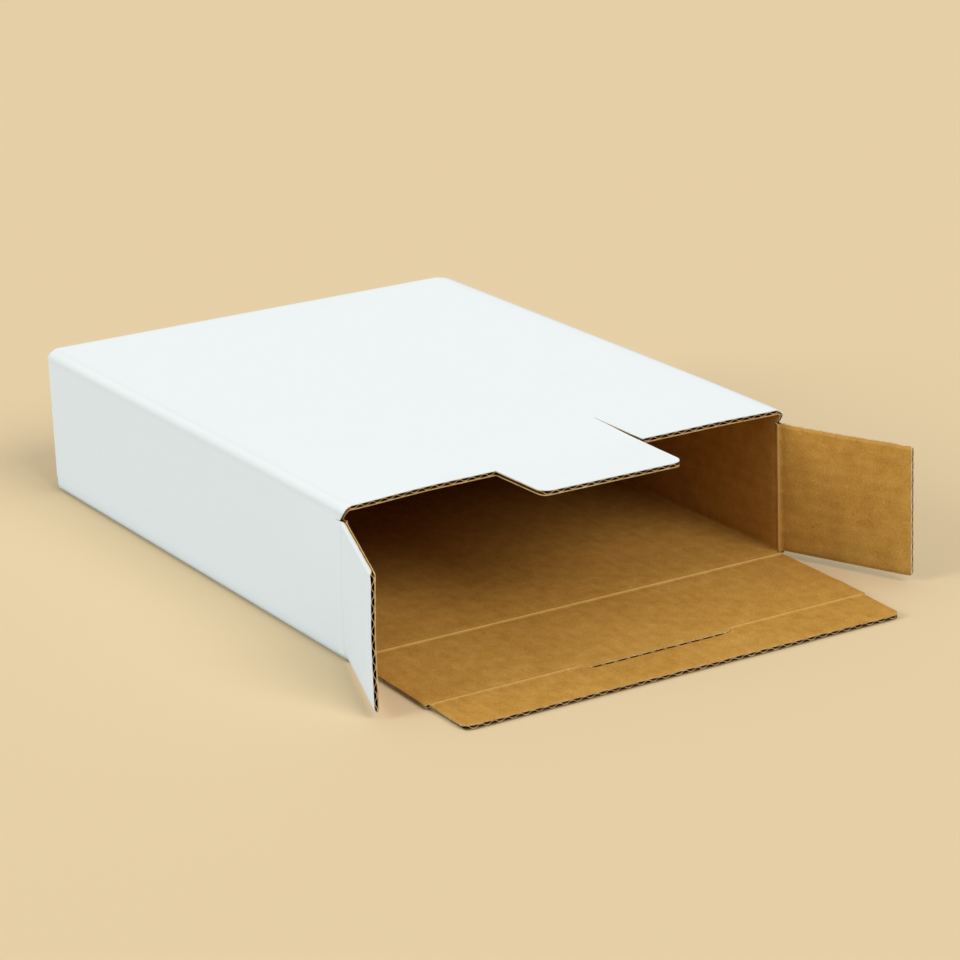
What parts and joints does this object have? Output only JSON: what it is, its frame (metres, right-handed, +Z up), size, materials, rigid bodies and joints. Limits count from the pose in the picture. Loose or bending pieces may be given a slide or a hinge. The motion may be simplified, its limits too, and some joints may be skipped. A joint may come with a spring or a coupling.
{
  "type": "corrugated mailer box",
  "caption": "Flat corrugated mailer open at one end, with side dust flaps, a closure panel with tuck strip and a locking tongue; white outside, brown inside.",
  "frame": {"origin": "centre of the sleeve's footprint, on the surface that the box stands on", "axes": "+X across the mouth, -Y out of the open mouth, +Z up"},
  "size_m": [0.2828, 0.4053, 0.073],
  "materials": {
    "white_liner": "matt white liner, uncoated",
    "brown_liner": "matt brown kraft liner"
  },
  "bodies": {
    "carton": {"carton": "white_liner"},
    "closure_panel": {"closure_panel": "brown_liner"},
    "tuck_strip": {"tuck_strip": "brown_liner"},
    "locking_tongue": {"locking_tongue": "white_liner"},
    "left_dust_flap": {"left_dust_flap": "white_liner"},
    "right_dust_flap": {"right_dust_flap": "brown_liner"}
  },
  "joints": [
    {"name": "left_dust_fold", "type": "hinge", "parent": "carton", "child": "left_dust_flap", "pos_m": [-0.1155, -0.1525, 0.0345], "axis": [0, 0, -1], "range_deg": [-109, 71]},
    {"name": "right_dust_fold", "type": "hinge", "parent": "carton", "child": "right_dust_flap", "pos_m": [0.1155, -0.1525, 0.0345], "axis": [0, 0, 1], "range_deg": [-112, 68]},
    {"name": "closure_fold", "type": "hinge", "parent": "carton", "child": "closure_panel", "pos_m": [0, -0.1558, 0.0015], "axis": [-1, 0, 0], "range_deg": [0, 66]},
    {"name": "tuck_fold", "type": "hinge", "parent": "closure_panel", "child": "tuck_strip", "pos_m": [0, -0.2223, 0.0015], "axis": [-1, 0, 0], "range_deg": [0, 103]},
    {"name": "tongue_lift", "type": "hinge", "parent": "carton", "child": "locking_tongue", "pos_m": [0, -0.114, 0.0715], "axis": [-1, 0, 0], "range_deg": [0, 10]}
  ],
  "couplings": [
    {"joint": "tuck_fold", "follows": "closure_fold", "ratio": 1.5},
    {"joint": "tongue_lift", "follows": "closure_fold", "ratio": 0.14}
  ]
}
